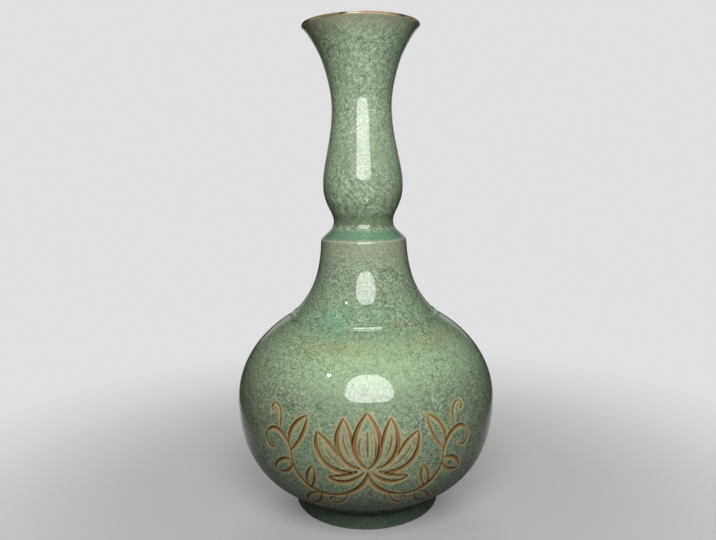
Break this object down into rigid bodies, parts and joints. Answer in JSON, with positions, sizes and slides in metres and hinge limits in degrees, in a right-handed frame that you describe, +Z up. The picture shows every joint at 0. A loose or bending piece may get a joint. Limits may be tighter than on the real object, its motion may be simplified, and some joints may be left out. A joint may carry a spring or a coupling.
{
  "type": "porcelain bottle vase",
  "caption": "Tall celadon-glazed bottle vase with a round body, a stepped collar, a pear-shaped upper neck and a flared trumpet mouth.",
  "frame": {"origin": "centre of the foot ring's resting face", "axes": "+Z up along the vase's axis, towards the mouth; the front of the pictured side faces -Y"},
  "size_m": [0.1632, 0.1632, 0.3],
  "materials": {
    "celadon_glaze": "glossy crackled grey-green glaze",
    "bare_clay": "iron-brown fired clay, glazed on its sides",
    "fired_slip": "matt fired slip"
  },
  "bodies": {
    "root": {"foot_ring": "bare_clay", "lower_body": "celadon_glaze", "upper_body": "celadon_glaze", "collar": "celadon_glaze", "bulb_neck": "celadon_glaze", "trumpet_mouth": "celadon_glaze", "foot_seam_slip": "fired_slip", "belly_seam_slip": "fired_slip", "shoulder_seam_slip": "fired_slip", "ledge_seam_slip": "fired_slip", "throat_seam_slip": "fired_slip"}
  },
  "joints": []
}
